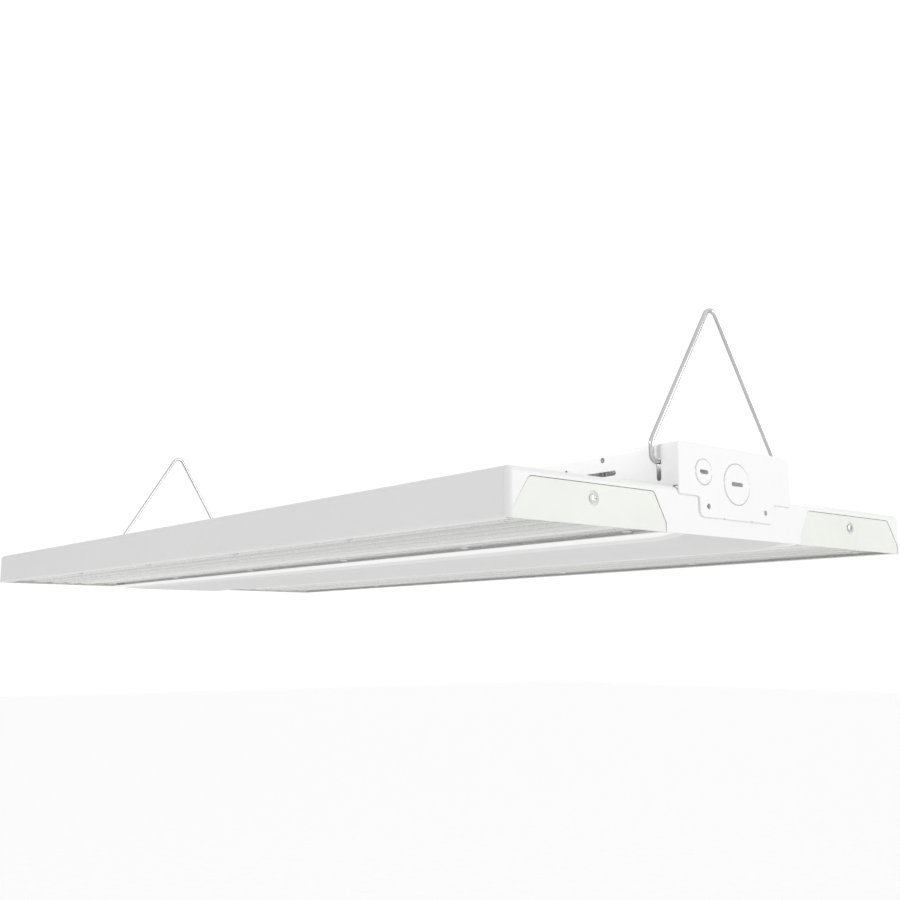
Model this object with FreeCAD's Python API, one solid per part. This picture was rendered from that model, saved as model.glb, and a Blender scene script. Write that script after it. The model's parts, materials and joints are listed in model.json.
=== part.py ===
"""Linear high bay light: two ribbed lens wings either side of a raised driver box.

X runs along the light, Y across it and +Z is up. The shapes are drawn with z = 0 at the lower
edge of the housing, and save() lifts them by pan_drop, so the part's origin is the centre of
the pan's underside, which is what the light rests on.
"""
import FreeCAD, Part
import math
import os
from FreeCAD import Rotation, Vector

os.makedirs("parts", exist_ok=True)

# Driving dimensions, in millimetres
body_length = 1150.0
body_width = 550.0
wing_height = 40.0          # lower edge of the housing to the top of a wing
box_width = 161.0
box_height = 80.0           # lower edge of the housing to the top of the driver box
sheet = 0.7                 # steel sheet of the housing, end plates and pan
reflector_sheet = 0.5
bend = 1.6                  # inside radius of an ordinary fold
edge_round = 5.0            # outside radius around a wing's upper edges and the end plates
box_bend = 4.2              # inside radius along the box's upper edges
lip_width = 9.0             # return lip along the housing's lower edges
joggle_gap = 0.1            # end plate flange to the sheet that it tucks behind
flange_depth = 12.0         # flange of an end plate inside the housing
flange_clearance = 2.0      # end plate's side flange above the reflector's upstand
tiny = 0.01                 # tolerance when edges are picked by their place
open_end = 1.0              # how far a cutter runs past the face that it opens

# Wing cavity: inner sizes from the centre line, outer ones from the outside of the side wall
web_offset = 93.0           # inner face of a reflector's web
cavity_inner = 126.0        # foot of the inner slope
cavity_outer_inset = 43.0   # foot of the outer slope
slope_run = 14.0            # how far each slope leans in
reflector_top = 30.0        # underside of the reflector's flat top
hem_width = 12.0            # reflector flange under the wing's top
reflector_upstand = 15.0    # reflector flange against the side wall
lens_end_gap = 0.3          # lens end to the pocket in the end plate

# Lens
lens_bottom = 3.0           # underside of the lens flanges above the lower edge
lens_thickness = 2.0
lens_inner_gap = 1.2        # web face to the lens's inner edge
lens_outer_gap = 5.0        # side wall face to the lens's outer edge
flute_count = 4
flute_margin = 3.0          # first and last flute inside the feet of the cavity's slopes
flute_bulge = 1.9           # how far a flute swells below its creases
crease_rise = 0.4           # how far a crease sits above the flange underside

# Centre pan
pan_drop = 4.0              # how far the pan hangs below the housing's lower edge
pan_half = 99.0             # half width of the rim
pan_shoulder_half = 87.0    # half width where the outer slope meets the inner one
pan_shoulder_drop = 2.2
pan_floor_half = 70.0       # half width of the flat floor
pan_corner = 12.0
pan_end_gap = 0.3
pan_clip_height = 18.0      # spring flange that grips the reflector web
pan_clip_gap = 0.2
pan_clip_inset = 40.0       # flange end to the pan's end
pan_clip_foot = 5.0         # width of the flange's foot on the rim

# End plates and their inserts
insert_inner = 96.8
insert_outer_inset = 5.0    # from the outside of the side wall
insert_lean_in = 14.5       # how far the inner side leans
insert_lean_out = 16.9      # how far the outer side leans
insert_top = 33.0
insert_shoulder = 8.0       # height of the short upright sides
insert_corner = 6.0
insert_gap = 0.5            # shadow gap around an insert
insert_recess = 0.5         # insert face below the end plate's face
insert_plate = 2.0
pocket_depth = insert_recess + insert_plate
window_margin = 8.0         # pocket rim left around the light window
strap_width = 22.0          # strap behind the insert that takes its screw
insert_screw_z = 21.3
insert_dimple_r = 6.2
insert_dimple_depth = 1.0

# Box end covers
cover_plate = 1.5
cover_edge = 1.0            # fillet around the cover's face
cover_corner = 5.0
cover_low_corner = 2.0      # lower corners of the wide part
cover_neck = 3.0            # inner corners where the tab begins
cover_low = 33.5            # lower edge of the wide part
tab_half = 53.0
tab_bottom = 15.7
tab_corner = 6.0
tab_hole_offset = 41.0
tab_hole_z = 25.6
tab_hole_d = 5.0
tab_notch_offset = 20.0
tab_notch_r = 1.2
cover_flange = 10.0
cover_flange_gap = 0.2
large_knockout_d = 37.0
large_knockout_y = 0.0
large_knockout_z = 48.3
large_pry_length = 16.5
small_knockout_d = 22.4
small_knockout_y = -46.5
small_knockout_z = 55.4
small_pry_length = 11.7
pry_width = 3.8
knockout_proud = 0.6
knockout_slit = 0.5
knockout_tie = 2.4

# Box wall openings: distances from the end of the light
hanger_inset = 20.0
hanger_slot_width = 5.2
hanger_slot_low = 46.5
hanger_slot_high = 66.6
side_hole_d = 5.0
side_hole_inset = 86.0
side_hole_z = 73.0
side_slot_inset = 70.0      # near end of the long side slot
side_slot_length = 52.0
side_slot_width = 4.6
side_slot_z = 59.8
small_hole_d = 4.0
small_hole_inset = 133.0
small_hole_z = 67.0

# Wire hangers
wire_d = 4.6
wire_sides = 12             # flats that stand for the round of the wire
hanger_height = 217.2       # lower edge of the housing to the top of the wire
hanger_half = 89.5          # upright shank of the wire to the centre line
shank_top = 81.0
pivot_z = 63.4
apex_bend = 9.0
shank_bend = 12.0
foot_bend = 6.0
foot_reach = 20.0           # how far the foot runs inwards from the shank
foot_turn_up = 12.0

# Light source
board_end_clearance = 6.5   # board end to the reflector's end
board_side_clearance = 11.0 # board's long edge to the bend of the reflector's slope
board_thickness = 1.6
board_gap = 3.0             # between the two boards of a wing
led_size = 3.6
led_height = 0.9
led_rows = 2
led_row_inset = 15.0        # row of chips to the board's long edge
led_columns = 20
led_margin = 12.0
board_screw_d = 3.0
board_screw_head_d = 5.6
board_screw_head = 1.8
board_screw_length = 4.0
board_screw_inset = 20.0

# Drivers and terminal block
driver_length = 360.0
driver_width = 62.0
driver_height = 34.0
driver_ear = 16.0
driver_ear_thickness = 2.0
driver_edge = 2.0
driver_gap = 12.0           # driver's ear to the terminal block
driver_screw_d = 4.0
driver_screw_head_d = 7.6
driver_screw_head = 2.2
driver_screw_length = 8.0
terminal_length = 44.0
terminal_width = 22.0
terminal_height = 18.0
terminal_poles = 3
terminal_port = 5.0         # side of a square wire port
terminal_port_depth = 8.0
terminal_edge = 1.0

# Lens screws
screw_columns = 6
screw_end_inset = 35.0      # outermost screws from the end of the light
screw_inner = 107.0         # inner row from the centre line
screw_outer_inset = 28.0    # outer row from the outside of the side wall
screw_d = 4.0
screw_head_d = 8.0
screw_head = 1.8
screw_length = 9.0
screw_clearance = 0.3       # radial, in the lens
pilot_clearance = 0.05      # radial, in sheet
screw_rim_share = 0.45      # upright rim of a head, of its height
screw_crown_share = 0.64    # width of a head's flat crown, of its diameter
head_sides = 12             # flats that stand for the round of a repeated screw's head
shank_sides = 8             # flats of its shank and of the hole around it

# Worked-out sizes
half_length = body_length / 2
half_width = body_width / 2
box_half = box_width / 2
side_face = half_width - sheet          # inner face of a side wall
roof_face = wing_height - sheet         # underside of a wing's top
crown_face = box_height - sheet         # underside of the box's top
box_face = box_half - sheet             # inner face of a box wall
lens_top = lens_bottom + lens_thickness
cavity_outer = half_width - cavity_outer_inset
flute_start = cavity_inner + flute_margin
flute_pitch = (cavity_outer - flute_margin - flute_start) / flute_count
insert_outer = half_width - insert_outer_inset
insert_top_inner = insert_inner + insert_lean_in
insert_top_outer = insert_outer - insert_lean_out
screw_outer = half_width - screw_outer_inset
screw_pitch = (body_length - 2 * screw_end_inset) / (screw_columns - 1)
sheet_half = half_length - edge_round     # where the wings' sheet stops at an end plate
cavity_end = half_length - pocket_depth - sheet
board_length = sheet_half - board_end_clearance - board_gap / 2
board_width = cavity_outer - cavity_inner - 2 * (slope_run + board_side_clearance)
led_row_pitch = (board_width - 2 * led_row_inset) / (led_rows - 1)
driver_offset = terminal_length / 2 + driver_gap + driver_ear + driver_length / 2
wing_middle = (insert_inner + insert_outer) / 2
board_middle = (cavity_inner + cavity_outer) / 2
flange_low = lens_top + reflector_sheet + reflector_upstand + flange_clearance
through = 4 * sheet                     # length of a cutter through one sheet
cover_through = 3 * cover_plate         # length of a cutter through a cover
ends = {"right": 1, "left": -1}
wings = {"front": -1, "back": 1}


def save(name, shape):
    """Lift a shape onto the part's origin and write it as one node."""
    shape = shape.copy()
    shape.translate(Vector(0, 0, pan_drop))
    shape.exportStep("parts/" + name + ".step")


def block(x0, x1, y0, y1, z0, z1):
    """Box between two corners."""
    low = Vector(min(x0, x1), min(y0, y1), min(z0, z1))
    return Part.makeBox(abs(x1 - x0), abs(y1 - y0), abs(z1 - z0), low)


def rod(centre, direction, radius, length):
    """Cylinder from centre along direction."""
    return Part.makeCylinder(radius, length, centre, direction)


def mirrored(shape, x_sign, y_sign):
    """Shape drawn at the right end of the back wing, mirrored to the end and wing asked for."""
    if x_sign < 0:
        shape = shape.mirror(Vector(0, 0, 0), Vector(1, 0, 0))
    if y_sign < 0:
        shape = shape.mirror(Vector(0, 0, 0), Vector(0, 1, 0))
    return shape


def folded_section(path, thickness):
    """Face of a folded sheet whose middle surface follows path.

    Each point is (y, z) or (y, z, inside radius); ordinary folds have the radius bend.
    """
    points = [Vector(0, p[0], p[1]) for p in path]
    radii = [p[2] if len(p) > 2 else bend for p in path]
    half = thickness / 2
    edges = []
    for side in (1, -1):
        start = None
        for i in range(len(points) - 1):
            ahead = (points[i + 1] - points[i]).normalize()
            normal = Vector(0, -ahead.z, ahead.y) * side
            if i == 0:
                start = points[0] + normal * half
            if i == len(points) - 2:
                stop = points[-1] + normal * half
                edges.append(Part.makeLine(start, stop))
                continue
            after = (points[i + 2] - points[i + 1]).normalize()
            turn = ahead.getAngle(after)
            left = ahead.cross(after).x > 0
            middle_r = radii[i + 1] + half
            back = middle_r * math.tan(turn / 2)
            into = points[i + 1] - ahead * back
            inward = Vector(0, -ahead.z, ahead.y) * (1 if left else -1)
            centre = into + inward * middle_r
            arc_r = middle_r - half if left == (side > 0) else middle_r + half
            outward = (points[i + 1] - centre).normalize()
            arc_start = into + normal * half
            next_normal = Vector(0, -after.z, after.y) * side
            arc_stop = points[i + 1] + after * back + next_normal * half
            edges.append(Part.makeLine(start, arc_start))
            edges.append(Part.Arc(arc_start, centre + outward * arc_r, arc_stop).toShape())
            start = arc_stop
    for point, neighbour in ((points[0], points[1]), (points[-1], points[-2])):
        along = (neighbour - point).normalize()
        normal = Vector(0, -along.z, along.y) * half
        edges.append(Part.makeLine(point + normal, point - normal))
    return Part.Face(Part.Wire(Part.__sortEdges__(edges)))


def along_x(face, half):
    """Extrude a section drawn at x = 0 to both sides."""
    face = face.copy()
    face.translate(Vector(-half, 0, 0))
    return face.extrude(Vector(2 * half, 0, 0))


def both_sides(path):
    """Complete a symmetric path from its y < 0 half."""
    return path + [(-p[0],) + tuple(p[1:]) for p in reversed(path)]


def obround(length, width, depth):
    """Slot cutter centred on the origin: length along Y, width along Z, depth along X."""
    straight = length - width
    body = block(-depth / 2, depth / 2, -straight / 2, straight / 2, -width / 2, width / 2)
    for side in (1, -1):
        centre = Vector(-depth / 2, side * straight / 2, 0)
        body = body.fuse(rod(centre, Vector(1, 0, 0), width / 2, depth))
    return body


def rounded_outline(points, radius_of, x):
    """Wire at the given x through (y, z) corners, each rounded by radius_of[index]."""
    count = len(points)
    vectors = [Vector(x, y, z) for y, z in points]
    starts = []
    edges = []
    for i in range(count):
        corner = vectors[i]
        radius = radius_of.get(i, 0)
        before = (vectors[i - 1] - corner).normalize()
        after = (vectors[(i + 1) % count] - corner).normalize()
        if not radius:
            starts.append((corner, corner))
            continue
        half_angle = before.getAngle(after) / 2
        back = radius / math.tan(half_angle)
        centre = corner + (before + after).normalize() * (radius / math.sin(half_angle))
        nearest = centre + (corner - centre).normalize() * radius
        first = corner + before * back
        last = corner + after * back
        edges.append(Part.Arc(first, nearest, last).toShape())
        starts.append((first, last))
    for i in range(count):
        leave = starts[i][1]
        arrive = starts[(i + 1) % count][0]
        edges.append(Part.makeLine(leave, arrive))
    return Part.Wire(Part.__sortEdges__(edges))


def plug(outline, x0, x1):
    """Solid between x0 and x1 from an outline drawn at x0."""
    return Part.Face(outline).extrude(Vector(x1 - x0, 0, 0))


def insert_outline(grow, x):
    """Trapezium of an end insert in the y > 0 wing, grown outwards by grow, open to the bottom."""
    top = insert_top + grow
    points = [
        (insert_inner - grow, 0),
        (insert_inner - grow, insert_shoulder),
        (insert_top_inner - grow, top),
        (insert_top_outer + grow, top),
        (insert_outer + grow, insert_shoulder),
        (insert_outer + grow, 0),
    ]
    corner = max(insert_corner + grow, sheet)
    return rounded_outline(points, {2: corner, 3: corner}, x)


def polygon(sides, across, z):
    """Level wire about the Z axis with equal sides, across its corners."""
    turn = 2 * math.pi / sides
    corners = [
        Vector(across / 2 * math.cos(i * turn), across / 2 * math.sin(i * turn), z)
        for i in range(sides)
    ]
    return Part.makePolygon(corners + corners[:1])


def prism(sides, across, z0, z1):
    """Upright prism between two heights, with the given number of flats, across its corners."""
    return Part.Face(polygon(sides, across, z0)).extrude(Vector(0, 0, z1 - z0))


def screw(head_d, head_h, shank_d, length):
    """Pan-head screw: head below z = 0, shank above it."""
    rim = head_h * screw_rim_share
    crown = polygon(head_sides, head_d * screw_crown_share, -head_h)
    head = prism(head_sides, head_d, -rim, 0)
    foot = next(f for f in head.Faces if abs(f.CenterOfMass.z + rim) < tiny)
    dome = Part.makeLoft([crown, foot.OuterWire], True, True)
    return head.multiFuse([dome, prism(shank_sides, shank_d, 0, length)]).removeSplitter()


def screw_hole(x, y, shank_d, clearance, z0, z1):
    """Cutter for the hole around a screw's shank, upright at (x, y)."""
    return moved_by(prism(shank_sides, shank_d + 2 * clearance, z0, z1), x, y, 0)


def end_screw_hole(x, side, clearance, length):
    """Cutter for the hole around an insert's screw, level and running outwards from x."""
    hole = prism(shank_sides, screw_d + 2 * clearance, 0, length)
    return moved(hole, x, side * wing_middle, insert_screw_z, Rotation(Vector(0, 1, 0), 90))


def moved(shape, x, y, z, rotation=None):
    """Copy of a shape turned about the origin and then moved."""
    placed = shape.copy()
    placed.Placement = FreeCAD.Placement(Vector(x, y, z), rotation or Rotation())
    return placed


def moved_by(shape, x, y, z):
    """Copy of a shape moved by an offset, keeping the turns it already has."""
    placed = shape.copy()
    placed.translate(Vector(x, y, z))
    return placed


def lens_screw_points(side):
    """Centres of the lens screws of one wing."""
    points = []
    for column in range(screw_columns):
        x = (column - (screw_columns - 1) / 2) * screw_pitch
        for offset in (screw_inner, screw_outer):
            points.append((x, side * offset))
    return points


def driver_screw_points():
    """Centres of the screws through the drivers' ears."""
    reach = driver_length / 2 + driver_ear / 2
    return [
        (side * driver_offset + end * reach, 0.0)
        for side in (-1, 1)
        for end in (-1, 1)
    ]


def board_centres():
    """Board centres along the light, by end."""
    step = (board_length + board_gap) / 2
    return {name: sign * step for name, sign in ends.items()}


def make_housing():
    side = half_width - sheet / 2
    wall = box_half - sheet / 2
    roof = wing_height - sheet / 2
    crown = box_height - sheet / 2
    path = [
        (-(half_width - lip_width), sheet / 2),
        (-side, sheet / 2),
        (-side, roof, edge_round - sheet),
        (-wall, roof),
        (-wall, crown, box_bend),
    ]
    body = along_x(folded_section(both_sides(path), sheet), sheet_half)
    crown_path = [(-wall, wing_height + bend), (-wall, crown, box_bend)]
    body = body.fuse(along_x(folded_section(both_sides(crown_path), sheet), half_length))
    cutters = []
    slot_height = hanger_slot_high - hanger_slot_low
    for end in ends.values():
        for side_sign in (-1, 1):
            y = side_sign * wall
            upright = obround(slot_height, hanger_slot_width, through)
            upright.rotate(Vector(0, 0, 0), Vector(1, 0, 0), 90)
            upright.rotate(Vector(0, 0, 0), Vector(0, 0, 1), 90)
            slot_z = (hanger_slot_high + hanger_slot_low) / 2
            cutters.append(moved_by(upright, end * (half_length - hanger_inset), y, slot_z))
            long_slot = obround(side_slot_length, side_slot_width, through)
            long_slot.rotate(Vector(0, 0, 0), Vector(0, 0, 1), 90)
            slot_x = half_length - side_slot_inset - side_slot_length / 2
            cutters.append(moved_by(long_slot, end * slot_x, y, side_slot_z))
            for inset, z, diameter in (
                (side_hole_inset, side_hole_z, side_hole_d),
                (small_hole_inset, small_hole_z, small_hole_d),
            ):
                start = Vector(end * (half_length - inset), y - through / 2, z)
                cutters.append(rod(start, Vector(0, 1, 0), diameter / 2, through))
    for x, y in driver_screw_points():
        low = crown_face - through
        cutters.append(screw_hole(x, y, driver_screw_d, pilot_clearance, low, low + 2 * through))
    return body.cut(cutters).removeSplitter()


def make_reflector(side):
    half = reflector_sheet / 2
    web = web_offset + half
    flange = lens_top + half
    top = reflector_top + half
    hem = roof_face - half
    wall = side_face - half
    path = [
        (web + hem_width, hem),
        (web, hem),
        (web, flange),
        (cavity_inner, flange),
        (cavity_inner + slope_run, top),
        (cavity_outer - slope_run, top),
        (cavity_outer, flange),
        (wall, flange),
        (wall, flange + reflector_upstand),
    ]
    body = along_x(folded_section(path, reflector_sheet), sheet_half)
    cutters = [
        screw_hole(x, y, screw_d, pilot_clearance, flange - through, flange + through)
        for x, y in lens_screw_points(1)
    ]
    cutters += [
        screw_hole(x, y, board_screw_d, pilot_clearance, top - through, top + through)
        for x, y in board_screw_points()
    ]
    return mirrored(body.cut(cutters), 1, side)


def make_lens(side):
    inner = web_offset + lens_inner_gap
    outer = side_face - lens_outer_gap
    crease = lens_bottom + crease_rise
    flute_end = flute_start + flute_count * flute_pitch
    edges = [
        Part.makeLine(Vector(0, inner, lens_top), Vector(0, inner, lens_bottom)),
        Part.makeLine(Vector(0, inner, lens_bottom), Vector(0, flute_start - crease_rise, lens_bottom)),
        Part.makeLine(Vector(0, flute_start - crease_rise, lens_bottom), Vector(0, flute_start, crease)),
    ]
    for i in range(flute_count):
        first = flute_start + i * flute_pitch
        last = first + flute_pitch
        lowest = Vector(0, (first + last) / 2, crease - flute_bulge)
        edges.append(Part.Arc(Vector(0, first, crease), lowest, Vector(0, last, crease)).toShape())
    edges += [
        Part.makeLine(Vector(0, flute_end, crease), Vector(0, flute_end + crease_rise, lens_bottom)),
        Part.makeLine(Vector(0, flute_end + crease_rise, lens_bottom), Vector(0, outer, lens_bottom)),
        Part.makeLine(Vector(0, outer, lens_bottom), Vector(0, outer, lens_top)),
        Part.makeLine(Vector(0, outer, lens_top), Vector(0, inner, lens_top)),
    ]
    face = Part.Face(Part.Wire(Part.__sortEdges__(edges)))
    body = along_x(face, cavity_end - lens_end_gap)
    cutters = [
        screw_hole(x, y, screw_d, screw_clearance, 0, 2 * lens_top)
        for x, y in lens_screw_points(1)
    ]
    return mirrored(body.cut(cutters), 1, side)


def make_lens_screws(side):
    one = screw(screw_head_d, screw_head, screw_d, screw_length)
    return Part.makeCompound([moved(one, x, y, lens_bottom) for x, y in lens_screw_points(side)])


def rounded_rectangle(half_x, half_y, radius, z):
    """Closed wire of a rounded rectangle at height z."""
    ix = half_x - radius
    iy = half_y - radius
    dips = radius * math.sqrt(0.5)
    edges = [
        Part.makeLine(Vector(-ix, -half_y, z), Vector(ix, -half_y, z)),
        Part.makeLine(Vector(half_x, -iy, z), Vector(half_x, iy, z)),
        Part.makeLine(Vector(ix, half_y, z), Vector(-ix, half_y, z)),
        Part.makeLine(Vector(-half_x, iy, z), Vector(-half_x, -iy, z)),
    ]
    for sx, sy in ((1, -1), (1, 1), (-1, 1), (-1, -1)):
        first = Vector(sx * half_x, sy * iy, z)
        middle = Vector(sx * (ix + dips), sy * (iy + dips), z)
        last = Vector(sx * ix, sy * half_y, z)
        edges.append(Part.Arc(first, middle, last).toShape())
    return Part.Wire(Part.__sortEdges__(edges))


def pan_dish(rise):
    """Shallow dish of the pan, with its surface raised by rise."""
    rim_x = half_length - sheet - pan_end_gap
    levels = [
        (0, 0.0),
        (pan_half - pan_shoulder_half, pan_shoulder_drop),
        (pan_half - pan_floor_half, pan_drop),
    ]
    dish = None
    for (inset_a, drop_a), (inset_b, drop_b) in zip(levels, levels[1:]):
        upper = rounded_rectangle(rim_x - inset_a, pan_half - inset_a, pan_corner, rise - drop_a)
        lower = rounded_rectangle(rim_x - inset_b, pan_half - inset_b, pan_corner, rise - drop_b)
        layer = Part.makeLoft([upper, lower], True, True)
        dish = layer if dish is None else dish.fuse(layer)
    return dish


def make_pan():
    rim_x = half_length - sheet - pan_end_gap
    outer = pan_dish(0)
    rim = Part.Face(rounded_rectangle(rim_x, pan_half, pan_corner, 0)).extrude(Vector(0, 0, sheet))
    body = outer.fuse(rim).cut(pan_dish(sheet))
    face_y = web_offset - pan_clip_gap
    clip_half = rim_x - pan_clip_inset
    for side in (-1, 1):
        outer_y = side * face_y
        inner_y = side * (face_y - sheet)
        foot_y = side * (face_y + pan_clip_foot)
        body = body.fuse(block(-clip_half, clip_half, inner_y, outer_y, 0, pan_clip_height))
        body = body.fuse(block(-clip_half, clip_half, inner_y, foot_y, 0, sheet))
    return body.removeSplitter()


def upper_edges(shape, x, half_y, z):
    """Edges of a block's front face and upper corners that a press rounds over."""
    edges = []
    for edge in shape.Edges:
        box = edge.BoundBox
        front = abs(box.XMin - x) < tiny and box.ZMax > z / 2
        at_side = abs(abs(box.YMin) - half_y) < tiny
        corner = abs(box.ZMin - z) < tiny and at_side and box.YLength < tiny
        if front or corner:
            edges.append(edge)
    return edges


def make_end_plate(end):
    shell = block(half_length - 2 * edge_round, half_length, -half_width, half_width, 0, wing_height)
    shell = shell.makeFillet(edge_round, upper_edges(shell, half_length, half_width, wing_height))
    hollow_x = half_length - sheet
    hollow_y = half_width - sheet
    hollow_start = half_length - 3 * edge_round
    hollow = block(hollow_start, hollow_x, -hollow_y, hollow_y, -open_end, wing_height - sheet)
    hollow = hollow.makeFillet(
        edge_round - sheet, upper_edges(hollow, hollow_x, hollow_y, wing_height - sheet))
    behind = block(0, sheet_half + joggle_gap, -body_width, body_width, -open_end, body_width)
    plate = shell.cut([hollow, behind])
    back = half_length - pocket_depth - sheet
    for side in (-1, 1):
        floor = back + sheet
        pocket = plug(insert_outline(insert_gap, floor), floor, half_length + open_end)
        pocket = mirrored(pocket, 1, side)
        liner = plug(insert_outline(insert_gap + sheet, back), back, half_length - sheet / 2)
        liner = mirrored(liner, 1, side)
        window = plug(insert_outline(-window_margin, back - open_end), back - open_end, floor + open_end)
        strap = block(
            back - through, floor + through,
            wing_middle - strap_width / 2, wing_middle + strap_width / 2, -open_end, wing_height)
        window = mirrored(window.cut(strap), 1, side)
        plate = plate.fuse(liner.common(shell)).cut([pocket, window])
        plate = plate.cut(end_screw_hole(back - open_end, side, pilot_clearance, through))
        start = Vector(half_length - through / 2, side * tab_hole_offset, tab_hole_z)
        plate = plate.cut(rod(start, Vector(1, 0, 0), tab_hole_d / 2, through))
    plate = plate.fuse(end_plate_flanges())
    return mirrored(plate.removeSplitter(), end, 1)


def end_plate_flanges():
    """Joggled flanges that tuck behind the housing's side walls and wing tops."""
    inset = sheet + joggle_gap
    reach = sheet_half - flange_depth
    step = sheet_half + sheet
    wing_start = web_offset + reflector_sheet + hem_width + bend
    wing_stop = half_width - 2 * edge_round
    pieces = []
    for side in (-1, 1):
        pieces.append(block(
            reach, step, side * wing_start, side * wing_stop,
            wing_height - inset - sheet, wing_height - inset))
        pieces.append(block(
            sheet_half + joggle_gap, step, side * wing_start, side * wing_stop,
            wing_height - inset - sheet, wing_height - sheet / 2))
        pieces.append(block(
            reach, step, side * (half_width - inset - sheet), side * (half_width - inset),
            flange_low, wing_height - 2 * edge_round))
        pieces.append(block(
            sheet_half + joggle_gap, step,
            side * (half_width - inset - sheet), side * (half_width - sheet / 2),
            flange_low, wing_height - 2 * edge_round))
    return pieces[0].multiFuse(pieces[1:])


def make_insert(end, side):
    face_x = half_length - insert_recess
    body = plug(insert_outline(0, face_x - insert_plate), face_x - insert_plate, face_x)
    centre = Vector(face_x, wing_middle, insert_screw_z)
    dimple = Part.makeCone(
        insert_dimple_r, insert_dimple_r - insert_dimple_depth, insert_dimple_depth,
        centre, Vector(-1, 0, 0))
    hole = end_screw_hole(face_x - 2 * insert_plate, 1, screw_clearance, 3 * insert_plate)
    return mirrored(body.cut([dimple, hole]), end, side)


def make_insert_screws():
    seat = half_length - insert_recess - insert_dimple_depth
    screws = []
    for end in ends.values():
        for side in wings.values():
            turn = Rotation(Vector(0, 1, 0), -90 * end)
            one = screw(screw_head_d, screw_head, screw_d, screw_length)
            screws.append(moved(one, end * seat, side * wing_middle, insert_screw_z, turn))
    return Part.makeCompound(screws)


def knockout_cutters(y, z, diameter, pry_length):
    """Slits around a knockout, leaving a tie at three and nine o'clock, and its pry slot."""
    x0 = half_length - cover_plate
    centre = Vector(x0, y, z)
    ring = rod(centre, Vector(1, 0, 0), diameter / 2 + knockout_slit, cover_through)
    ring = ring.cut(rod(centre, Vector(1, 0, 0), diameter / 2, cover_through))
    ring = ring.cut(block(
        x0 - open_end, x0 + cover_through + open_end,
        y - diameter, y + diameter, z - knockout_tie / 2, z + knockout_tie / 2))
    pry = obround(pry_length, pry_width, cover_through)
    pry.translate(Vector(x0 + cover_through / 2, y, z))
    return [ring, pry]


def make_cover(end):
    face_x = half_length + cover_plate
    points = [
        (-box_half, box_height), (-box_half, cover_low), (-tab_half, cover_low), (-tab_half, tab_bottom),
        (tab_half, tab_bottom), (tab_half, cover_low), (box_half, cover_low), (box_half, box_height),
    ]
    radii = {0: cover_corner, 7: cover_corner, 3: tab_corner, 4: tab_corner}
    radii.update({1: cover_low_corner, 6: cover_low_corner, 2: cover_neck, 5: cover_neck})
    plate = plug(rounded_outline(points, radii, half_length), half_length, face_x)
    rim = [e for e in plate.Edges if abs(e.BoundBox.XMin - face_x) < tiny]
    plate = plate.makeFillet(cover_edge, rim)
    flange_half = box_face - cover_flange_gap
    flange_top = crown_face - cover_flange_gap
    flange_corner = box_bend - cover_flange_gap
    ring_start = half_length - cover_flange
    low = wing_height + bend
    flange_points = [
        (-flange_half, flange_top), (-flange_half, low),
        (flange_half, low), (flange_half, flange_top),
    ]
    flange = plug(
        rounded_outline(flange_points, {0: flange_corner, 3: flange_corner}, ring_start),
        ring_start, half_length + sheet)
    core_half = flange_half - sheet
    core = block(
        ring_start - open_end, half_length, -core_half, core_half, low - open_end, flange_top - sheet)
    plate = plate.fuse(flange.cut(core))
    for y, z, diameter in (
        (large_knockout_y, large_knockout_z, large_knockout_d),
        (small_knockout_y, small_knockout_z, small_knockout_d),
    ):
        boss = Part.makeCone(
            diameter / 2, diameter / 2 - knockout_proud, knockout_proud,
            Vector(face_x, y, z), Vector(1, 0, 0))
        plate = plate.fuse(boss)
    cutters = knockout_cutters(large_knockout_y, large_knockout_z, large_knockout_d, large_pry_length)
    cutters += knockout_cutters(small_knockout_y, small_knockout_z, small_knockout_d, small_pry_length)
    for side in (-1, 1):
        start = Vector(half_length - open_end, side * tab_hole_offset, tab_hole_z)
        cutters.append(rod(start, Vector(1, 0, 0), tab_hole_d / 2, cover_through))
        start = Vector(half_length - open_end, side * tab_notch_offset, tab_bottom)
        cutters.append(rod(start, Vector(1, 0, 0), tab_notch_r, cover_through))
    plate = plate.cut(cutters).removeSplitter()
    if end > 0:
        return plate
    plate.rotate(Vector(0, 0, 0), Vector(0, 0, 1), 180)
    return plate


def wire_path():
    """Centre line of a hanger in the plane x = 0, as corner points with their bend radii."""
    centre_rise = hanger_height - wire_d / 2 - apex_bend - shank_top
    to_centre = math.hypot(centre_rise, hanger_half)
    lean = math.atan2(centre_rise, hanger_half) + math.asin(apex_bend / to_centre)
    apex = shank_top + hanger_half * math.tan(lean)
    half = [
        (-(hanger_half - foot_reach), pivot_z + foot_turn_up, 0),
        (-(hanger_half - foot_reach), pivot_z, foot_bend),
        (-hanger_half, pivot_z, foot_bend),
        (-hanger_half, shank_top, shank_bend),
    ]
    other = [(-y, z, r) for y, z, r in reversed(half)]
    return half + [(0.0, apex, apex_bend)] + other


def make_hanger(end):
    corners = wire_path()
    points = [Vector(0, y, z) for y, z, r in corners]
    edges = []
    start = points[0]
    for i in range(1, len(points) - 1):
        before = (points[i - 1] - points[i]).normalize()
        after = (points[i + 1] - points[i]).normalize()
        half_angle = before.getAngle(after) / 2
        radius = corners[i][2]
        back = radius / math.tan(half_angle)
        centre = points[i] + (before + after).normalize() * (radius / math.sin(half_angle))
        nearest = centre + (points[i] - centre).normalize() * radius
        first = points[i] + before * back
        last = points[i] + after * back
        edges.append(Part.makeLine(start, first))
        edges.append(Part.Arc(first, nearest, last).toShape())
        start = last
    edges.append(Part.makeLine(start, points[-1]))
    spine = Part.Wire(edges)
    section = moved_by(polygon(wire_sides, wire_d, points[0].z), 0, points[0].y, 0)
    body = spine.makePipeShell([section], True, False)
    body.translate(Vector(end * (half_length - hanger_inset), 0, 0))
    return body


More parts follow.
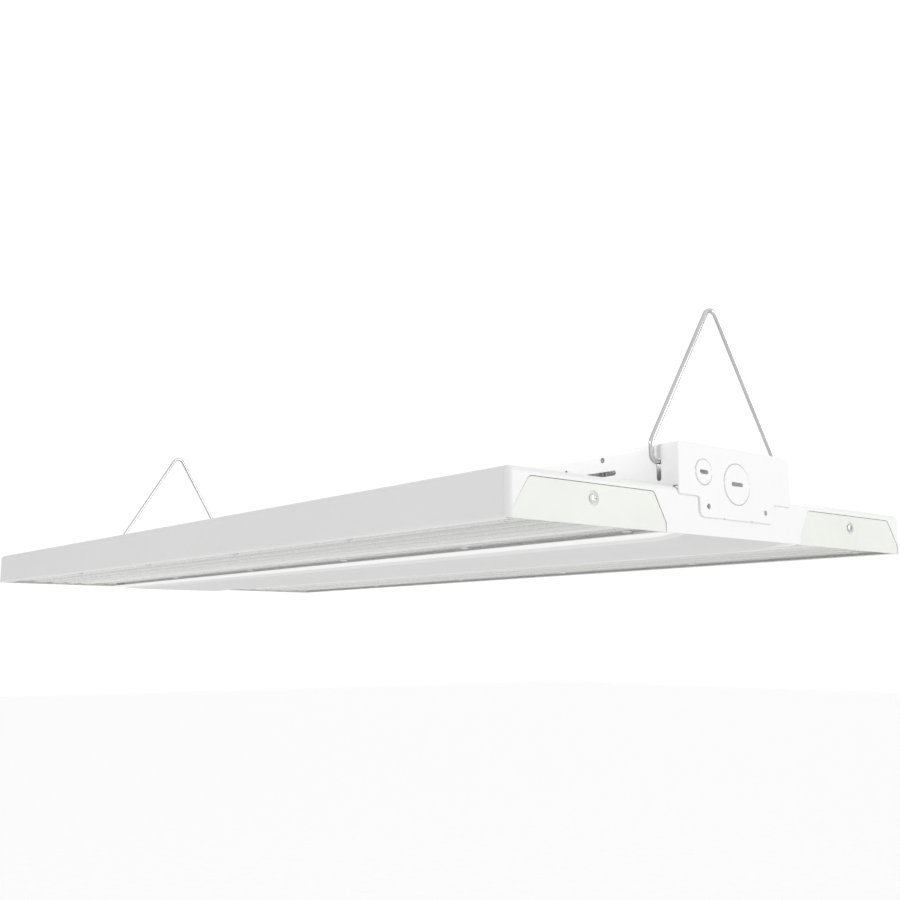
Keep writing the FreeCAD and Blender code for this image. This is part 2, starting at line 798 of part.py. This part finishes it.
def board_screw_points():
    """Screws of both boards of the y > 0 wing, on the board's centre line."""
    reach = board_length / 2 - board_screw_inset
    return [(x + step * reach, board_middle) for x in board_centres().values() for step in (-1, 0, 1)]


def make_board(end_name, side):
    x = board_centres()[end_name]
    body = block(
        x - board_length / 2, x + board_length / 2,
        board_middle - board_width / 2, board_middle + board_width / 2,
        reflector_top - board_thickness, reflector_top)
    holes = [
        screw_hole(sx, sy, board_screw_d, screw_clearance, 0, wing_height)
        for sx, sy in board_screw_points()
    ]
    return mirrored(body.cut(holes), 1, side)


def make_leds(end_name, side):
    x = board_centres()[end_name]
    first = x - board_length / 2 + led_margin
    pitch = (board_length - 2 * led_margin) / (led_columns - 1)
    top = reflector_top - board_thickness
    chips = []
    for column in range(led_columns):
        for row in range(led_rows):
            cx = first + column * pitch
            cy = side * (board_middle + (row - (led_rows - 1) / 2) * led_row_pitch)
            chips.append(block(
                cx - led_size / 2, cx + led_size / 2,
                cy - led_size / 2, cy + led_size / 2, top - led_height, top))
    return Part.makeCompound(chips)


def make_board_screws(side):
    seat = reflector_top - board_thickness
    one = screw(board_screw_head_d, board_screw_head, board_screw_d, board_screw_length)
    return Part.makeCompound([moved(one, x, side * y, seat) for x, y in board_screw_points()])


def make_driver(end):
    x = end * driver_offset
    body = block(
        x - driver_length / 2, x + driver_length / 2,
        -driver_width / 2, driver_width / 2, crown_face - driver_height, crown_face)
    edges = [e for e in body.Edges if e.BoundBox.ZMax < crown_face - driver_height + tiny]
    body = body.makeChamfer(driver_edge, edges)
    ear_half = driver_length / 2 + driver_ear
    ears = block(
        x - ear_half, x + ear_half, -driver_width / 4, driver_width / 4,
        crown_face - driver_ear_thickness, crown_face)
    body = body.fuse(ears)
    for sx, sy in driver_screw_points():
        low = crown_face - 2 * driver_ear_thickness
        body = body.cut(screw_hole(sx, sy, driver_screw_d, pilot_clearance, low, box_height))
    return body.removeSplitter()


def make_driver_screws():
    one = screw(driver_screw_head_d, driver_screw_head, driver_screw_d, driver_screw_length)
    over = Rotation(Vector(1, 0, 0), 180)
    return Part.makeCompound([moved(one, x, y, box_height, over) for x, y in driver_screw_points()])


def make_terminal_block():
    body = block(
        -terminal_length / 2, terminal_length / 2, -terminal_width / 2, terminal_width / 2,
        crown_face - terminal_height, crown_face)
    lower = [e for e in body.Edges if e.BoundBox.ZMax < crown_face - terminal_height + tiny]
    body = body.makeChamfer(terminal_edge, lower)
    pitch = terminal_length / terminal_poles
    cutters = []
    for pole in range(terminal_poles):
        x = (pole - (terminal_poles - 1) / 2) * pitch
        z = crown_face - terminal_height / 2
        for side in (-1, 1):
            outer = side * terminal_width / 2
            cutters.append(block(
                x - terminal_port / 2, x + terminal_port / 2,
                outer - side * terminal_port_depth, outer + side * open_end,
                z - terminal_port / 2, z + terminal_port / 2))
    return body.cut(cutters)


def main():
    save("housing", make_housing())
    save("centre_pan", make_pan())
    save("insert_screws", make_insert_screws())
    save("driver_screws", make_driver_screws())
    save("terminal_block", make_terminal_block())
    for end_name, end in ends.items():
        save("end_plate_" + end_name, make_end_plate(end))
        save("box_cover_" + end_name, make_cover(end))
        save("hanger_" + end_name, make_hanger(end))
        save("driver_" + end_name, make_driver(end))
    for wing_name, side in wings.items():
        save("reflector_" + wing_name, make_reflector(side))
        save("lens_" + wing_name, make_lens(side))
        save("lens_screws_" + wing_name, make_lens_screws(side))
        save("board_screws_" + wing_name, make_board_screws(side))
        for end_name, end in ends.items():
            save("end_insert_" + wing_name + "_" + end_name, make_insert(end, side))
            save("led_board_" + wing_name + "_" + end_name, make_board(end_name, side))
            save("leds_" + wing_name + "_" + end_name, make_leds(end_name, side))


main()
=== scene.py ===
import json
import math

import bmesh
import bpy
from mathutils import Matrix, Vector


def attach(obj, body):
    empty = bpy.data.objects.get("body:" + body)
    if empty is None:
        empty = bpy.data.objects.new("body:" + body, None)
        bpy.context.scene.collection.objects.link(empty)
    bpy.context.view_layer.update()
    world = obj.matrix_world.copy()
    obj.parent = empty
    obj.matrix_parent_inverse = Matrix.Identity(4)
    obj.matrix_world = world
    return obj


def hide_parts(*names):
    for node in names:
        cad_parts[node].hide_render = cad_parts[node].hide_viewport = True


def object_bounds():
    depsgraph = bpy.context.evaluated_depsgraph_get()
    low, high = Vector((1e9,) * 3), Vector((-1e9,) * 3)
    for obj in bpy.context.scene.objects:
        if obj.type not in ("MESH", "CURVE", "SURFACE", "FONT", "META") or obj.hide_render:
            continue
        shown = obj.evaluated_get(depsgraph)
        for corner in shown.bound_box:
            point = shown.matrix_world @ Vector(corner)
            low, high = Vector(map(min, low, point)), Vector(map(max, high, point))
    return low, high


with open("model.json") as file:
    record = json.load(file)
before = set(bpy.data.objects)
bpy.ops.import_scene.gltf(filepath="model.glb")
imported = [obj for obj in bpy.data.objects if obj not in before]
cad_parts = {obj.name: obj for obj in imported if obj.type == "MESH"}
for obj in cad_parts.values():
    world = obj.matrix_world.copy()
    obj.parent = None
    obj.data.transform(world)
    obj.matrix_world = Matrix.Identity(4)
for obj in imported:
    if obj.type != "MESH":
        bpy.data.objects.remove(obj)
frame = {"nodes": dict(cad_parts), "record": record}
cad_low, cad_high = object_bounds()

# Camera, in metres and degrees, in the frame of the part
CAMERA_PLACE = Vector((1.1902, -0.8323, -0.0890))
CAMERA_HEADING = 50.8
CAMERA_PITCH = 9.79
CAMERA_LENS = 45.13
SENSOR = 36.0
CAMERA_REACH = 200.0

# Surroundings
FLOOR_DROP = 1.45
FLOOR_SIZE = 60.0
STUDIO_LIGHT = 1.05
# Darker patches of the studio: heading and rise in degrees, cosines where they start and are full
DARK_PATCHES = ((206.0, 8.0, 0.80, 0.93), (183.0, 44.0, 0.93, 0.965), (78.0, 8.0, 0.82, 0.93))
SIDE_DEPTH = 0.42

# Soft lights, in metres and watts: place, target, length, width, power, spread in degrees
FULL_SPREAD = 180.0
END_LIGHT = ((2.0, 1.05, 0.4), (0.57, 0, 0.03), 0.8, 0.8, 11.0, FULL_SPREAD)
# The two below are for the side with y or x above zero and are mirrored for the other
WING_LIGHT = ((0, 0.34, 0.19), (0, 0.08, 0.085), 1.15, 0.05, 0.165, 30.0)
BOX_LIGHT = ((0.5, 0, 0.047), (0.5, 0, 0.08), 0.05, 0.05, 0.04, FULL_SPREAD)

# Tone of the pan by distance from the centre plane, in metres; these tones are painted light: painted shade
# on the pan's floor, painted highlight on its slopes
PAN_HALF = 0.100
PAN_PAINTED_LIGHT_BANDS = (
    (0.005, 0.59), (0.069, 0.60), (0.071, 0.70), (0.084, 0.70), (0.0872, 0.90), (0.0985, 0.92))

# Lens, in metres from the centre plane, with the tone of each stretch; the tones are painted shade, darker
# towards the outer wall, deepest at each crease and even over the flanges, with a darker line along each
# screw row
LENS_INNER = 0.094
LENS_OUTER = 0.270
CREASES = (0.129, 0.154, 0.179, 0.204, 0.229)
FLUTE_PAINTED_SHADES = (0.61, 0.50, 0.43, 0.40)
CREASE_PAINTED_SHADE = 0.29
CREASE_HALF = 0.0035
FLANGE_PAINTED_SHADE = 0.50
SCREW_ROW_DARK_TONE = 0.30
SEAMS = (0.107, 0.244)
SEAM_HALF = 0.003
LENS_TINT = (1.0, 1.005, 0.955)     # faint green against pure grey
PRISMS_PER_METRE = 190.0
PRISM_PAINTED_HIGHLIGHT = 1.06                  # painted highlight at a prism's middle
PRISM_PAINTED_SHADE = 0.86                   # painted shade at its edge
PRISM_RELIEF = 0.0004

# Screws, in metres
HEAD_D = 0.008
HEAD_H = 0.0018
HEAD_RIM = 0.0005
SHANK_D = 0.004
SHANK_LENGTH = 0.009
RECESS_WIDTH = 0.00095
RECESS_SPAN = 0.0042
RECESS_DEPTH = 0.0011
HEAD_SWEEP = 70.0           # part of a quarter turn that the head's dome covers, in degrees
HEAD_RINGS = 5
HEAD_SIDES = 32
SCREW_COLUMNS = 6
SCREW_PITCH = 0.216
SCREW_ROWS = (0.107, 0.247)
SCREW_SEAT = 0.007
INSERT_SEAT = 0.5735
INSERT_SCREW_Y = 0.1834
INSERT_SCREW_Z = 0.0253
INSERT_TURN = 8             # degrees that an insert's screw is turned
TURNS = (37, 61, 23)        # degrees that a lens screw turns by column, row and wing
SCREW_ROUND = 30            # degrees up to which a screw's faces are smoothed together

# Wire hangers, in metres
HANGER_X = 0.555
WIRE_D = 0.0046
WIRE_TOP = 0.2189           # middle of the wire at the apex
APEX_BEND = 0.009
SHANK_Y = 0.0895
SHANK_TOP = 0.085
SHANK_BEND = 0.012
PIVOT_Z = 0.0674
FOOT_REACH = 0.020
FOOT_TURN_UP = 0.012
FOOT_BEND = 0.006
WIRE_SIDES = 24
BEND_STEP = 6.0
WIRE_ROUND = 40             # degrees up to which a wire's faces are smoothed together


def principled(name):
    """New node material and its main shader."""
    material = bpy.data.materials.new(name)
    material.use_nodes = True
    return material, material.node_tree.nodes["Principled BSDF"]


def noise(material, scale, detail=2.0):
    """Noise over the piece's own coordinates; scale is in features per metre."""
    nodes = material.node_tree.nodes
    links = material.node_tree.links
    place = nodes.new("ShaderNodeTexCoord")
    texture = nodes.new("ShaderNodeTexNoise")
    texture.inputs["Scale"].default_value = scale
    texture.inputs["Detail"].default_value = detail
    links.new(place.outputs["Object"], texture.inputs["Vector"])
    return texture


def tint(material, shader, low, high, scale):
    """Slow colour change over the surface, between two colours."""
    ramp = material.node_tree.nodes.new("ShaderNodeValToRGB")
    ramp.color_ramp.elements[0].position = 0.35
    ramp.color_ramp.elements[1].position = 0.65
    ramp.color_ramp.elements[0].color = (*low, 1)
    ramp.color_ramp.elements[1].color = (*high, 1)
    links = material.node_tree.links
    links.new(noise(material, scale).outputs["Fac"], ramp.inputs["Fac"])
    links.new(ramp.outputs["Color"], shader.inputs["Base Color"])


def vary_roughness(material, shader, low, high, scale):
    span = material.node_tree.nodes.new("ShaderNodeMapRange")
    span.inputs["To Min"].default_value = low
    span.inputs["To Max"].default_value = high
    links = material.node_tree.links
    links.new(noise(material, scale).outputs["Fac"], span.inputs["Value"])
    links.new(span.outputs["Result"], shader.inputs["Roughness"])


def relief(material, shader, height, distance):
    """Bump from a height output."""
    bump = material.node_tree.nodes.new("ShaderNodeBump")
    bump.inputs["Strength"].default_value = 1.0
    bump.inputs["Distance"].default_value = distance
    links = material.node_tree.links
    links.new(height, bump.inputs["Height"])
    links.new(bump.outputs["Normal"], shader.inputs["Normal"])


def glow(shader, strength):
    """A little even light of its own, standing for light passed through plastic or between sheets."""
    shader.inputs["Emission Color"].default_value = (1, 1, 0.97, 1)
    shader.inputs["Emission Strength"].default_value = strength


def satin(material, shader):
    """Satin surface with a faint orange peel."""
    vary_roughness(material, shader, 0.38, 0.48, 60.0)
    relief(material, shader, noise(material, 1400.0).outputs["Fac"], 0.00003)


def powder_coat(name, low, high):
    """Satin powder coat with a slow change of tone."""
    material, shader = principled(name)
    tint(material, shader, low, high, 3.0)
    satin(material, shader)
    return material


def plastic(name, low, high, rough_low, rough_high, grain, depth):
    material, shader = principled(name)
    tint(material, shader, low, high, 14.0)
    vary_roughness(material, shader, rough_low, rough_high, 90.0)
    relief(material, shader, noise(material, grain).outputs["Fac"], depth)
    return material


def metal(name, low, high, rough_low, rough_high, grain, depth):
    material = plastic(name, low, high, rough_low, rough_high, grain, depth)
    material.node_tree.nodes["Principled BSDF"].inputs["Metallic"].default_value = 1.0
    return material


def across(material):
    """Distance from the light's centre plane, in metres, on either wing."""
    nodes = material.node_tree.nodes
    place = nodes.new("ShaderNodeTexCoord")
    split = nodes.new("ShaderNodeSeparateXYZ")
    away = nodes.new("ShaderNodeMath")
    away.operation = "ABSOLUTE"
    material.node_tree.links.new(place.outputs["Object"], split.inputs["Vector"])
    material.node_tree.links.new(split.outputs["Y"], away.inputs[0])
    return away.outputs["Value"]


def lens_painted_shades():
    """Place and tone of each stop across a lens: painted shade on the flutes, lighter than the creases and
    darker towards the outer wall, deeper painted shade at each crease, and a darker line along each screw
    row.
    """
    stops = [(LENS_INNER + 0.001, FLANGE_PAINTED_SHADE), (LENS_OUTER - 0.001, FLANGE_PAINTED_SHADE)]
    for place in SEAMS:
        stops += [(place - 2 * SEAM_HALF, FLANGE_PAINTED_SHADE), (place + 2 * SEAM_HALF, FLANGE_PAINTED_SHADE)]
        stops += [(place - SEAM_HALF / 2, SCREW_ROW_DARK_TONE), (place + SEAM_HALF / 2, SCREW_ROW_DARK_TONE)]
    for i, place in enumerate(CREASES):
        stops.append((place, CREASE_PAINTED_SHADE))
        if i > 0:
            stops.append((place - CREASE_HALF, FLUTE_PAINTED_SHADES[i - 1]))
        if i < len(FLUTE_PAINTED_SHADES):
            stops.append((place + CREASE_HALF, FLUTE_PAINTED_SHADES[i]))
    return sorted(stops)


def lens_plastic(name):
    """Ribbed acrylic: fine prisms in the flutes with a painted highlight at each prism's middle and painted
    shade at its edge, painted shade across the lens that darkens towards the outer wall and is deepest at
    each crease, plain flanges.
    """
    material, shader = principled(name)
    nodes = material.node_tree.nodes
    links = material.node_tree.links
    # Painted shade across the lens: darker towards the outer wall, deepest at each crease, plain over the
    # flanges.
    ramp = nodes.new("ShaderNodeValToRGB")
    bands = ramp.color_ramp
    for place, tone in lens_painted_shades():
        stop = bands.elements.new((place - LENS_INNER) / (LENS_OUTER - LENS_INNER))
        stop.color = (*(tone * part for part in LENS_TINT), 1)
    bands.elements.remove(bands.elements[0])
    bands.elements.remove(bands.elements[-1])
    span = nodes.new("ShaderNodeMapRange")
    span.inputs["From Min"].default_value = LENS_INNER
    span.inputs["From Max"].default_value = LENS_OUTER
    links.new(across(material), span.inputs["Value"])
    links.new(span.outputs["Result"], ramp.inputs["Fac"])
    prisms = nodes.new("ShaderNodeTexVoronoi")
    prisms.inputs["Scale"].default_value = PRISMS_PER_METRE
    prisms.inputs["Randomness"].default_value = 0.25
    place = nodes.new("ShaderNodeTexCoord")
    links.new(place.outputs["Object"], prisms.inputs["Vector"])
    # Painted highlight at each prism's middle and painted shade at its edge, scaling the lens colour.
    prism_painted_light = nodes.new("ShaderNodeMapRange")
    prism_painted_light.inputs["From Min"].default_value = 0.1
    prism_painted_light.inputs["From Max"].default_value = 0.7
    prism_painted_light.inputs["To Min"].default_value = PRISM_PAINTED_HIGHLIGHT
    prism_painted_light.inputs["To Max"].default_value = PRISM_PAINTED_SHADE
    links.new(prisms.outputs["Distance"], prism_painted_light.inputs["Value"])
    mix = nodes.new("ShaderNodeVectorMath")
    mix.operation = "SCALE"
    links.new(ramp.outputs["Color"], mix.inputs["Vector"])
    links.new(prism_painted_light.outputs["Result"], mix.inputs["Scale"])
    links.new(mix.outputs["Vector"], shader.inputs["Base Color"])
    vary_roughness(material, shader, 0.16, 0.26, 200.0)
    shader.inputs["Transmission Weight"].default_value = 0.15
    glow(shader, 0.06)
    shader.inputs["IOR"].default_value = 1.49
    relief(material, shader, prisms.outputs["Distance"], PRISM_RELIEF)
    return material


def insert_plastic(name):
    """Moulded translucent end insert, with a little light inside it."""
    low = (0.640, 0.650, 0.612)
    high = (0.660, 0.670, 0.632)
    material = plastic(name, low, high, 0.36, 0.46, 900.0, 0.00003)
    shader = material.node_tree.nodes["Principled BSDF"]
    shader.inputs["Subsurface Weight"].default_value = 0.15
    shader.inputs["Subsurface Radius"].default_value = (0.004, 0.004, 0.003)
    return material


def reflector_coat(name):
    """White reflector paint, faintly lit by what the lens lets through."""
    material = powder_coat(name, (0.88, 0.88, 0.87), (0.91, 0.91, 0.90))
    glow(material.node_tree.nodes["Principled BSDF"], 0.3)
    return material


def pan_coat_with_painted_light(name):
    """Satin coat of the centre pan, with painted light across its width: painted shade on its floor and a
    painted highlight on its slopes.
    """
    material, shader = principled(name)
    satin(material, shader)
    ramp = material.node_tree.nodes.new("ShaderNodeValToRGB")
    # Painted shade on the pan's floor and painted highlight on its slopes, by distance from the centre plane.
    for place, tone in PAN_PAINTED_LIGHT_BANDS:
        stop = ramp.color_ramp.elements.new(place / PAN_HALF)
        stop.color = (tone, tone, tone, 1)
    ramp.color_ramp.elements.remove(ramp.color_ramp.elements[0])
    ramp.color_ramp.elements.remove(ramp.color_ramp.elements[-1])
    span = material.node_tree.nodes.new("ShaderNodeMath")
    span.operation = "DIVIDE"
    span.inputs[1].default_value = PAN_HALF
    links = material.node_tree.links
    links.new(across(material), span.inputs[0])
    links.new(span.outputs["Value"], ramp.inputs["Fac"])
    links.new(ramp.outputs["Color"], shader.inputs["Base Color"])
    return material


MATERIALS = {
    "white_paint": powder_coat("white_paint", (0.69, 0.69, 0.69), (0.71, 0.71, 0.71)),
    "reflector": reflector_coat("reflector_paint"),
    "lens": lens_plastic("lens_acrylic"),
    "insert": insert_plastic("insert_plastic"),
    "zinc": metal("zinc_plate", (0.55, 0.55, 0.56), (0.68, 0.68, 0.69), 0.25, 0.40, 1800.0, 0.00002),
    "wire": metal("bright_wire", (0.52, 0.52, 0.53), (0.60, 0.60, 0.61), 0.08, 0.16, 700.0, 0.00001),
    "board": plastic("solder_mask", (0.84, 0.84, 0.82), (0.88, 0.88, 0.86), 0.35, 0.5, 1500.0, 0.00001),
    "led": plastic("phosphor", (0.62, 0.55, 0.16), (0.70, 0.62, 0.22), 0.3, 0.45, 2000.0, 0.00001),
    "driver_case": powder_coat("driver_case", (0.62, 0.62, 0.63), (0.68, 0.68, 0.69)),
    "terminal": plastic("terminal_plastic", (0.74, 0.74, 0.72), (0.80, 0.80, 0.78), 0.3, 0.4, 900.0, 0.00002),
}


def dress(obj, slot):
    """Give a piece the material of a slot, all over."""
    obj.data.materials.clear()
    obj.data.materials.append(MATERIALS[slot])
    for polygon in obj.data.polygons:
        polygon.material_index = 0


def dress_cad_nodes():
    """Give every carried-over node the finish its record names."""
    for part in frame["record"]["subparts"]:
        obj = frame["nodes"][part["node"]]
        dress(obj, part["material_slot"])
    pan = frame["nodes"]["centre_pan"]
    # The centre pan gets painted light: painted shade on its floor, painted highlight on its slopes.
    pan.data.materials[0] = pan_coat_with_painted_light("pan_painted_light")


def ring(mesh, radius, height):
    """Ring of vertices about Z."""
    turn = 2 * math.pi / HEAD_SIDES
    return [
        mesh.verts.new((radius * math.cos(i * turn), radius * math.sin(i * turn), height))
        for i in range(HEAD_SIDES)
    ]


def bridge(mesh, lower, upper):
    """Band of faces between two rings."""
    count = len(lower)
    for i in range(count):
        j = (i + 1) % count
        mesh.faces.new((lower[i], lower[j], upper[j], upper[i]))


def finished(mesh, name):
    """Object of a closed bmesh, linked to the scene."""
    bmesh.ops.recalc_face_normals(mesh, faces=mesh.faces)
    data = bpy.data.meshes.new(name)
    mesh.to_mesh(data)
    mesh.free()
    obj = bpy.data.objects.new(name, data)
    bpy.context.scene.collection.objects.link(obj)
    return obj


def smooth(obj, degrees):
    """Smooth shading, except across edges sharper than the angle."""
    for polygon in obj.data.polygons:
        polygon.use_smooth = True
    obj.data.set_sharp_from_angle(angle=math.radians(degrees))


def pan_head():
    """Pan-head screw without its recess: head above z = 0, shank below it."""
    mesh = bmesh.new()
    rings = [
        ring(mesh, SHANK_D / 2, -SHANK_LENGTH),
        ring(mesh, SHANK_D / 2, 0.0),
        ring(mesh, HEAD_D / 2, 0.0),
        ring(mesh, HEAD_D / 2, HEAD_RIM),
    ]
    for step in range(1, HEAD_RINGS + 1):
        angle = math.radians(HEAD_SWEEP * step / HEAD_RINGS)
        share = math.sin(angle) / math.sin(math.radians(HEAD_SWEEP))
        rise = HEAD_RIM + (HEAD_H - HEAD_RIM) * share
        rings.append(ring(mesh, HEAD_D / 2 * math.cos(angle), rise))
    for lower, upper in zip(rings, rings[1:]):
        bridge(mesh, lower, upper)
    mesh.faces.new(list(reversed(rings[0])))
    mesh.faces.new(rings[-1])
    return finished(mesh, "screw")


def cross():
    """Cross-shaped cutter for the recess."""
    arm = RECESS_SPAN / 2
    half = RECESS_WIDTH / 2
    outline = [
        (half, half), (half, arm), (-half, arm), (-half, half), (-arm, half), (-arm, -half),
        (-half, -half), (-half, -arm), (half, -arm), (half, -half), (arm, -half), (arm, half),
    ]
    mesh = bmesh.new()
    lower = [mesh.verts.new((x, y, HEAD_H - RECESS_DEPTH)) for x, y in outline]
    upper = [mesh.verts.new((x, y, HEAD_H + RECESS_DEPTH)) for x, y in outline]
    bridge(mesh, lower, upper)
    mesh.faces.new(list(reversed(lower)))
    mesh.faces.new(upper)
    return finished(mesh, "recess")


def recessed_screw():
    """Mesh of one screw with its cross recess."""
    screw = pan_head()
    cutter = cross()
    cut = screw.modifiers.new("recess", "BOOLEAN")
    cut.object = cutter
    cut.solver = "EXACT"
    seen = screw.evaluated_get(bpy.context.evaluated_depsgraph_get())
    data = bpy.data.meshes.new_from_object(seen)
    bpy.data.objects.remove(screw)
    bpy.data.objects.remove(cutter)
    return data


def add_screws(data, node, places):
    """One piece with a screw at each (place, direction of the head, turn), in place of a CAD node."""
    mesh = bmesh.new()
    for place, outwards, turn in places:
        facing = Vector(outwards).to_track_quat("Z", "Y").to_matrix().to_4x4()
        spin = Matrix.Rotation(math.radians(turn), 4, "Z")
        one = data.copy()
        one.transform(Matrix.Translation(place) @ facing @ spin)
        mesh.from_mesh(one)
        bpy.data.meshes.remove(one)
    obj = finished(mesh, node + "_recessed")
    smooth(obj, SCREW_ROUND)
    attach(obj, "fixture")
    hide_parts(node)
    dress(obj, "zinc")


def add_all_screws():
    data = recessed_screw()
    for wing, side in (("front", -1), ("back", 1)):
        places = []
        for column in range(SCREW_COLUMNS):
            x = (column - (SCREW_COLUMNS - 1) / 2) * SCREW_PITCH
            for row, y in enumerate(SCREW_ROWS):
                turn = (TURNS[0] * column + TURNS[1] * row + TURNS[2] * side) % 90
                places.append(((x, side * y, SCREW_SEAT), (0, 0, -1), turn))
        add_screws(data, "lens_screws_" + wing, places)
    places = [
        ((end * INSERT_SEAT, side * INSERT_SCREW_Y, INSERT_SCREW_Z), (end, 0, 0), INSERT_TURN * side)
        for end in (-1, 1)
        for side in (-1, 1)
    ]
    add_screws(data, "insert_screws", places)


def wire_line():
    """Points along a hanger's middle line, from one foot over the apex to the other, at x = 0."""
    to_centre = math.hypot(WIRE_TOP - APEX_BEND - SHANK_TOP, SHANK_Y)
    lean = math.atan2(WIRE_TOP - APEX_BEND - SHANK_TOP, SHANK_Y) + math.asin(APEX_BEND / to_centre)
    corners = [
        (-(SHANK_Y - FOOT_REACH), PIVOT_Z + FOOT_TURN_UP, 0),
        (-(SHANK_Y - FOOT_REACH), PIVOT_Z, FOOT_BEND),
        (-SHANK_Y, PIVOT_Z, FOOT_BEND),
        (-SHANK_Y, SHANK_TOP, SHANK_BEND),
        (0.0, SHANK_TOP + SHANK_Y * math.tan(lean), APEX_BEND),
    ]
    corners += [(-y, z, bend) for y, z, bend in reversed(corners[:-1])]
    line = [Vector((0, corners[0][0], corners[0][1]))]
    for before, here, after in zip(corners, corners[1:], corners[2:]):
        corner = Vector((0, here[0], here[1]))
        back = (Vector((0, before[0], before[1])) - corner).normalized()
        ahead = (Vector((0, after[0], after[1])) - corner).normalized()
        half = back.angle(ahead) / 2
        centre = corner + (back + ahead).normalized() * (here[2] / math.sin(half))
        first = corner + back * (here[2] / math.tan(half)) - centre
        axis = back.cross(ahead).normalized()
        steps = max(2, math.ceil((math.pi - 2 * half) / math.radians(BEND_STEP)))
        for step in range(steps + 1):
            spin = Matrix.Rotation(-(math.pi - 2 * half) * step / steps, 3, axis)
            line.append(centre + spin @ first)
    line.append(Vector((0, corners[-1][0], corners[-1][1])))
    return line


def add_wires():
    """Round wires in place of the CAD hangers."""
    line = wire_line()
    for body, x in (("hanger_right", HANGER_X), ("hanger_left", -HANGER_X)):
        mesh = bmesh.new()
        rings = []
        for i, point in enumerate(line):
            along = (line[min(i + 1, len(line) - 1)] - line[max(i - 1, 0)]).normalized()
            level = Vector((1, 0, 0))
            up = along.cross(level)
            rings.append([
                mesh.verts.new(
                    point + Vector((x, 0, 0))
                    + (level * math.cos(turn) + up * math.sin(turn)) * WIRE_D / 2)
                for turn in (2 * math.pi * k / WIRE_SIDES for k in range(WIRE_SIDES))
            ])
        for lower, upper in zip(rings, rings[1:]):
            bridge(mesh, lower, upper)
        mesh.faces.new(rings[0])
        mesh.faces.new(rings[-1])
        obj = finished(mesh, body + "_wire")
        smooth(obj, WIRE_ROUND)
        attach(obj, body)
        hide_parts(body)
        dress(obj, "wire")


def add_floor():
    bpy.ops.mesh.primitive_plane_add(size=FLOOR_SIZE, location=(0, 0, cad_low.z - FLOOR_DROP))
    floor = bpy.context.object
    floor.name = "floor"
    material = plastic("pale_floor", (0.985, 0.985, 0.985), (1.0, 1.0, 1.0), 0.7, 0.8, 40.0, 0.0001)
    floor.data.materials.append(material)


def shade_side(tree, heading, rise, start, full):
    """How bright the studio is, dimmed around one direction from cosine start to cosine full."""
    place = tree.nodes.new("ShaderNodeTexCoord")
    facing = tree.nodes.new("ShaderNodeVectorMath")
    facing.operation = "DOT_PRODUCT"
    turn = math.radians(heading)
    lift = math.radians(rise)
    facing.inputs[1].default_value = (
        math.cos(turn) * math.cos(lift), math.sin(turn) * math.cos(lift), math.sin(lift))
    span = tree.nodes.new("ShaderNodeMapRange")
    span.interpolation_type = "SMOOTHSTEP"
    span.inputs["From Min"].default_value = start
    span.inputs["From Max"].default_value = full
    span.inputs["To Min"].default_value = 1.0
    span.inputs["To Max"].default_value = 1.0 - SIDE_DEPTH
    tree.links.new(place.outputs["Generated"], facing.inputs[0])
    tree.links.new(facing.outputs["Value"], span.inputs["Value"])
    return span.outputs["Result"]


def add_world():
    """White studio with darker patches, out of the camera's view, that the bright wire mirrors."""
    world = bpy.data.worlds.new("studio")
    world.use_nodes = True
    tree = world.node_tree
    light = None
    for patch in DARK_PATCHES:
        shade = shade_side(tree, *patch)
        if light is None:
            light = shade
            continue
        both = tree.nodes.new("ShaderNodeMath")
        both.operation = "MULTIPLY"
        tree.links.new(light, both.inputs[0])
        tree.links.new(shade, both.inputs[1])
        light = both.outputs["Value"]
    strength = tree.nodes.new("ShaderNodeMath")
    strength.operation = "MULTIPLY"
    strength.inputs[1].default_value = STUDIO_LIGHT
    tree.links.new(light, strength.inputs[0])
    background = tree.nodes["Background"]
    background.inputs["Color"].default_value = (1, 1, 1, 1)
    tree.links.new(strength.outputs["Value"], background.inputs["Strength"])
    bpy.context.scene.world = world
    bpy.context.scene.view_settings.view_transform = "Standard"


def add_softbox(name, place, target, length, width, power, spread):
    """Rectangular soft light at place, facing target; its length is level."""
    data = bpy.data.lights.new(name, "AREA")
    data.shape = "RECTANGLE"
    data.size = length
    data.size_y = width
    data.energy = power
    data.spread = math.radians(spread)
    light = bpy.data.objects.new(name, data)
    light.location = place
    light.rotation_mode = "QUATERNION"
    light.rotation_quaternion = (Vector(target) - Vector(place)).to_track_quat("-Z", "Y")
    light.visible_camera = False
    bpy.context.scene.collection.objects.link(light)


def mirrored(point, side, axis):
    """The point, with its coordinate along one axis set for a side."""
    return tuple(side * value if i == axis else value for i, value in enumerate(point))


def add_lights():
    add_softbox("end", *END_LIGHT)
    for side in (-1, 1):
        for name, (place, target, *rest), axis in (("wing", WING_LIGHT, 1), ("inside", BOX_LIGHT, 0)):
            add_softbox(name, mirrored(place, side, axis), mirrored(target, side, axis), *rest)


def add_camera():
    heading = math.radians(CAMERA_HEADING)
    pitch = math.radians(CAMERA_PITCH)
    ahead = Vector((
        -math.sin(heading) * math.cos(pitch),
        math.cos(heading) * math.cos(pitch),
        math.sin(pitch),
    ))
    data = bpy.data.cameras.new("camera")
    data.lens = CAMERA_LENS
    data.sensor_width = SENSOR
    data.clip_end = CAMERA_REACH
    camera = bpy.data.objects.new("camera", data)
    camera.location = CAMERA_PLACE
    camera.rotation_mode = "QUATERNION"
    camera.rotation_quaternion = ahead.to_track_quat("-Z", "Y")
    bpy.context.scene.collection.objects.link(camera)
    bpy.context.scene.camera = camera


add_camera()
add_world()
add_floor()
add_lights()
dress_cad_nodes()
add_all_screws()
add_wires()
